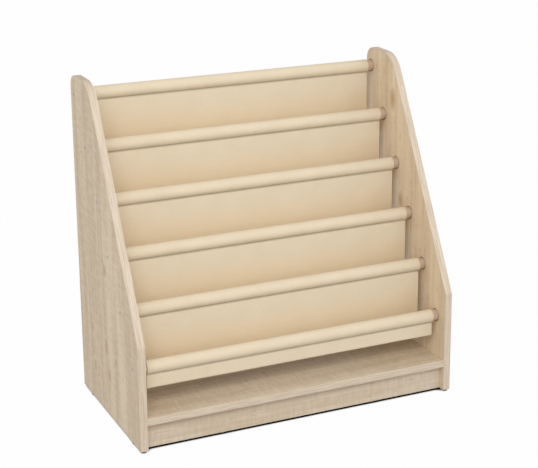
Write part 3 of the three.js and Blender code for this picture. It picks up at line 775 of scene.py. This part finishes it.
def cloth_columns():
    """Places across the cloth and half its thickness at each: even in the middle, pinched at the
    inner edge of the hem, thicker over the hem and rounded off at the fold of the side."""
    fold_radius = cloth_thickness / 2 + hem_rise
    fold = np.linspace(0, math.pi / 2, fold_columns)
    half_width = sling_width / 2
    middle_x = np.linspace(0, half_width - middle_margin, middle_columns)
    hem_x = half_width - np.linspace(hem_margin, fold_margin, hem_columns)
    inset = half_width - np.concatenate([middle_x, hem_x])
    rise = hem_rise * smooth_share((hem_width - inset) / (2 * hem_groove_width) + 0.5)
    groove = hem_groove * np.exp(-((inset - hem_width - hem_groove_width) / hem_groove_width) ** 2)
    x = np.concatenate([half_width - inset, half_width - fold_radius * (1 - np.sin(fold))])
    half_thickness = np.concatenate([cloth_thickness / 2 + rise - groove,
                                     fold_radius * np.cos(fold)])
    return [np.concatenate([side * values[:0:-1], values])
            for side, values in ((-1, x), (1, half_thickness))]


def stitches(places, along, across, outward):
    """A row of short threads. Each rises from the sunk depth and returns to it as a half sine, and
    its round section shrinks to a point at both ends."""
    share = np.linspace(0, 1, stitch_rings)
    angles = np.linspace(0, 2 * math.pi, stitch_facets, endpoint=False)
    girth = thread_radius * np.sqrt(np.sin(math.pi * share))
    lift = (stitch_sunk + stitch_height) * np.sin(math.pi * share) - stitch_sunk
    forward = (stitch_length * (share - 1 / 2))[:, None] + np.zeros(stitch_facets)
    sideways = girth[:, None] * np.cos(angles)
    upward = lift[:, None] + girth[:, None] * np.sin(angles)
    points = (places[:, None, None, :] + forward[..., None] * along[:, None, None, :]
              + sideways[..., None] * across[:, None, None, :]
              + upward[..., None] * outward[:, None, None, :])
    one = quads(stitch_rings, stitch_facets, wrap_columns=True)
    first = np.arange(len(places))[:, None, None] * stitch_rings * stitch_facets
    return points.reshape(-1, 3), (one[None] + first).reshape(-1, 4)


def plain_thread(name):
    """Polyester sewing thread, twisted, a shade paler than the cloth."""
    material, shader, add = new_material(
        name, {"Roughness": 0.6, "IOR": 1.47, "Specular IOR Level": 0.35, "Sheen Weight": 0.1})
    twist_pitch = 0.6 * mm
    twist = random_pattern(add, add("TexCoord", result="Object"), [twist_pitch] * 3)
    colour = add("ValToRGB", [twist], stops=[(0.3, cloth_deep), (0.6, thread_colour)])
    set_inputs(shader, {"Base Color": colour})
    return material


def cloth_block(route, length, right, place):
    """The two faces of the cloth, each half the thickness from the route along its right, and the
    cut edges that close them at both ends. The uv is the place across and the length along. The
    crease tone is painted shade: a bell about the crease under each tunnel, where the tunnel
    overhangs the leaf. The pocket tone is painted warm light, bounced about inside the pocket: it
    grows down the leaf and fades out along the bottom."""
    y, z = route[:, :1], route[:, 1:]
    forward = pushed_forward(column_x, y, z, *place)
    sides = [np.stack(np.broadcast_arrays(column_x, y + reach * right[:, :1] - forward,
                                          z + reach * right[:, 1:]), axis=-1)
             for reach in (column_half, -column_half)]
    points = np.stack(sides)
    uv = np.stack(np.broadcast_arrays(column_x, length[:, None]), axis=-1)
    rows, columns = forward.shape
    grid = quads(rows, columns)
    cut = quads(2, columns)
    cut = cut + (cut >= columns) * (rows - 1) * columns
    faces = [grid, grid + rows * columns, cut, cut + (rows - 1) * columns]
    next_y, next_z = place[1]
    # Painted shade along the crease under this tunnel and under the next one.
    heights = [points[..., 2] + crease_drop, points[..., 2] - next_z + crease_drop]
    lines = [np.exp(-(height / crease_line_width) ** 2) for height in heights]
    painted_crease_shade = np.where(points[..., 1] < next_y / 2, lines[1], lines[0])
    # Painted warm light bounced inside the pocket: it grows down the leaf and fades along the
    # bottom towards the front leaf.
    pocket_bounce = smooth_share((-points[..., 2] - pocket_bounce_from) / (pocket_bounce_full - pocket_bounce_from))
    pocket_bounce = pocket_bounce * np.clip(1 - points[..., 1] / next_y, 0, 1)
    tones = {"crease": painted_crease_shade, "pocket": pocket_bounce}
    return points.reshape(-1, 3), faces, np.stack([uv, uv]).reshape(-1, 2), tones


def seam_threads(axis, tail, place):
    """Stitches across the seam under a tunnel, a little below its crease: one row on the front of
    the leaf and one on the back of the tail."""
    half_row = sling_width / 2 - 2 * stitch_pitch
    x = np.arange(-half_row, half_row, stitch_pitch)
    z = np.full_like(x, axis[1] - crease_drop - seam_stitch_drop)
    blocks = []
    for side, middle_y in ((-1, axis[0] - leaf_offset), (1, axis[0] - tail)):
        y = middle_y - pushed_forward(x, np.full_like(x, middle_y), z, *place)
        y += side * cloth_thickness / 2
        along, across, outward = (np.tile(np.array(v, float), (len(x), 1))
                                  for v in ((1, 0, 0), (0, 0, 1), (0, side, 0)))
        blocks.append(stitches(np.stack([x, y, z], axis=1), along, across, outward))
    return blocks


def hem_threads(route, length, along, place, is_last):
    """Stitches along both hems, on each face of the cloth where that face lies free: not inside a
    tunnel, and not where a front leaf lies against the seam of the next sling."""
    reached = np.arange(stitch_pitch, length[-1] - stitch_pitch, stitch_pitch)
    y, z, along_y, along_z = (np.interp(reached, length, values)
                              for values in (*route.T, *along.T))
    next_axis = place[1]
    in_front_half = y < (next_axis[0] - leaf_offset) / 2
    clear_of_own = -z > tunnel_radius + seam_tail
    clear_of_next = next_axis[1] - z > tunnel_radius + seam_tail
    on_right = clear_of_next | ~in_front_half
    on_left = np.where(in_front_half, clear_of_next | is_last, clear_of_own)
    blocks = []
    for side, shown in ((1, on_right), (-1, on_left)):
        zero, one = np.zeros(shown.sum()), np.ones(shown.sum())
        reach = side * (cloth_thickness / 2 + hem_rise)
        for hem_x in np.array([-1, 1]) * (sling_width / 2 - hem_stitch_inset):
            forward = pushed_forward(hem_x, y, z, *place)
            middle = [hem_x * one, (y + reach * along_z - forward)[shown],
                      (z - reach * along_y)[shown]]
            line = [zero, along_y[shown], along_z[shown]]
            outward = [zero, side * along_z[shown], -side * along_y[shown]]
            across = [one, zero, zero]
            blocks.append(stitches(*(np.stack(v, axis=1) for v in (middle, line, across, outward))))
    return blocks


cream_cloth = close_weave("cream_cloth")
cream_thread = plain_thread("cream_thread")
sling_low, sling_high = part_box("sling_1")
sling_width = sling_high.x - sling_low.x
column_x, column_half = cloth_columns()

for number in range(1, len(dowel_axes)):
    axis_y, axis_z = dowel_axes[number - 1]
    next_axis = (dowel_axes[number][0] - axis_y, dowel_axes[number][1] - axis_z)
    is_last = number == len(dowel_axes) - 1
    tail_depth = plain_tail_offset if number == 1 else lapped_tail_offset
    front_offset = leaf_offset if is_last else lapped_offset
    tunnel_reach = tunnel_radius + cloth_thickness / 2
    under_tunnel = -math.sqrt(tunnel_reach ** 2 - (front_offset - cloth_thickness / 2) ** 2)
    front_top = -crease_drop if is_last else under_tunnel - layer_gap
    stretches = [tunnel_route(tail_depth), pocket_route(next_axis, front_offset, front_top)]
    if is_last:
        stretches.append(tunnel_route(plain_tail_offset)[::-1] + next_axis)
    route, length = sampled(np.concatenate(stretches))
    along = np.gradient(route, length, axis=0)
    along /= np.linalg.norm(along, axis=1)[:, None]
    right = np.stack([along[:, 1], -along[:, 0]], axis=1)
    place = (number, next_axis, front_offset)
    origin = (0.0, axis_y, axis_z)
    points, faces, uv, tones = cloth_block(route, length, right, place)
    sling = mesh_piece(f"sling_cloth_{number}", points + origin, faces, cream_cloth, uv,
                       tones)
    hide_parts(f"sling_{number}")

    blocks = seam_threads((0.0, 0.0), tail_depth, place)
    if is_last:
        blocks += seam_threads(next_axis, plain_tail_offset, place)
    blocks += hem_threads(route, length, along, place, is_last)
    starts = np.cumsum([0] + [len(points) for points, faces in blocks])
    thread_points = np.concatenate([points for points, faces in blocks]) + origin
    thread_faces = [faces + start for start, (points, faces) in zip(starts, blocks)]
    threads = mesh_piece(f"sling_stitching_{number}", thread_points, thread_faces, cream_thread)


# Studio
# A white floor that runs out of the picture, a soft white surround that is brightest at both
# sides, dimmer in front and faint behind and above, and two large soft lamps in front, the
# stronger one on the left. The camera stands in front to the left, above the bookshelf.

photo_width, photo_height = 538, 468
focal_pixels = 1482.4
principal_u, principal_v = 309.7, 195.0
camera_place = (-1.364, -3.088, 1.513)
camera_yaw, camera_pitch = math.radians(25.656), math.radians(16.737)
sensor_width = 36.0
floor_size = 60.0
contact_reach = 16 * mm
contact_samples = 16
contact_closed, contact_open, paper_share = 0.2, 0.5, 0.99
closed_foot_shade = 0.2
floor_grey, floor_contact_shadow, paper_white = "#bababa", "#1e1d1d", "#ffffff"
surround_right_back_up = (2.05, 0.1, 0.11)
surround_left_front_down = (1.53, 0.58, 0.0)
lamp_size = 1.8
lamp_aim = (0.0, 0.0, 0.4)
left_lamp_place, left_lamp_power = (-1.6, -2.8, 2.8), 54.0
right_lamp_place, right_lamp_power = (1.3, -2.9, 2.4), 16.5


def white_floor(name):
    """White floor: for the camera and for reflections it is white paper under its own light, with
    a painted contact shadow where the object stands close over it, darker still between the sides,
    where the plinths close the foot. For the other rays it is matt light grey."""
    material, shader, add = new_material(name, {"Roughness": 0.8, "Specular IOR Level": 0.0})
    rays = add("LightPath").node.outputs
    seen = add("Math", [rays["Is Camera Ray"], rays["Is Glossy Ray"]], operation="MAXIMUM")
    seen = add("Math", [seen, rays["Is Transmission Ray"]], operation="MAXIMUM")
    # Painted contact shadow: the paper turns to the dark contact colour where the occlusion test
    # finds the object close, and more so between the sides.
    openness = add("AmbientOcclusion", {"Distance": contact_reach}, "AO", samples=contact_samples)
    across = add("SeparateXYZ", [add("TexCoord", result="Object")])
    across = add("Math", [across], operation="ABSOLUTE")
    between = add("Math", [across, inner_plane_x], operation="LESS_THAN")
    openness = add("Math", [between, -closed_foot_shade, openness], operation="MULTIPLY_ADD")
    clear = add("MapRange", {"Value": openness, "From Min": contact_closed,
                             "From Max": contact_open, "To Max": paper_share}, **smooth)
    share = add("Math", [seen, clear], operation="MULTIPLY")
    base = add("Mix", {"Factor": seen, first_colour: linear(floor_grey),
                       second_colour: linear(floor_contact_shadow)}, mixed_colour, data_type="RGBA")
    set_inputs(shader, {"Base Color": base})
    paper = add("Emission", {"Color": linear(paper_white), "Strength": 1.0})
    surface = add("MixShader", [share, shader.outputs["BSDF"], paper])
    set_inputs(material.node_tree.nodes["Material Output"], {"Surface": surface})
    return material


floor_mesh = bpy.data.meshes.new("floor")
half_floor = floor_size / 2
floor_mesh.from_pydata([(-half_floor, -half_floor, 0.0), (half_floor, -half_floor, 0.0),
                        (half_floor, half_floor, 0.0), (-half_floor, half_floor, 0.0)],
                       [], [(0, 1, 2, 3)])
floor_mesh.materials.append(white_floor("white_floor"))
floor = bpy.data.objects.new("floor", floor_mesh)
bpy.context.scene.collection.objects.link(floor)

world = bpy.data.worlds.new("white_surround")
bpy.context.scene.world = world
world.use_nodes = True
add = partial(add_node, world.node_tree)
direction = add("TexCoord", result="Generated")
levels = []
for sign, brightness in ((1, surround_right_back_up), (-1, surround_left_front_down)):
    turned_way = add("VectorMath", {0: direction, "Scale": sign}, operation="SCALE")
    ahead = add("VectorMath", [turned_way, (0.0, 0.0, 0.0)], operation="MAXIMUM")
    squared = add("VectorMath", [ahead, ahead], operation="MULTIPLY")
    levels.append(add("VectorMath", [squared, brightness], "Value", operation="DOT_PRODUCT"))
around = add("Math", levels, operation="ADD")
camera_ray = add("LightPath", result="Is Camera Ray")
level = add("Mix", {"Factor": camera_ray, "A": around, "B": 1.0}, data_type="FLOAT")
set_inputs(world.node_tree.nodes["Background"], {"Color": linear(paper_white), "Strength": level})


def standing(name, data, place, looking):
    """A lamp or the camera, put in its place and turned upright along the way that it looks."""
    holder = bpy.data.objects.new(name, data)
    bpy.context.scene.collection.objects.link(holder)
    holder.location = place
    holder.rotation_mode = "QUATERNION"
    holder.rotation_quaternion = Vector(looking).to_track_quat("-Z", "Y")
    return holder


for name, place, power in (("lamp_left", left_lamp_place, left_lamp_power),
                           ("lamp_right", right_lamp_place, right_lamp_power)):
    lamp = bpy.data.lights.new(name, "AREA")
    lamp.size = lamp_size
    lamp.energy = power
    standing(name, lamp, place, np.subtract(lamp_aim, place))

looking = (math.sin(camera_yaw) * math.cos(camera_pitch),
           math.cos(camera_yaw) * math.cos(camera_pitch), -math.sin(camera_pitch))
camera = standing("camera", bpy.data.cameras.new("camera"), camera_place, looking)
camera.data.sensor_width = sensor_width
camera.data.lens = focal_pixels / photo_width * sensor_width
camera.data.shift_x = (photo_width / 2 - principal_u) / photo_width
camera.data.shift_y = (principal_v - photo_height / 2) / photo_width
bpy.context.scene.camera = camera
bpy.context.scene.view_settings.view_transform = "Standard"
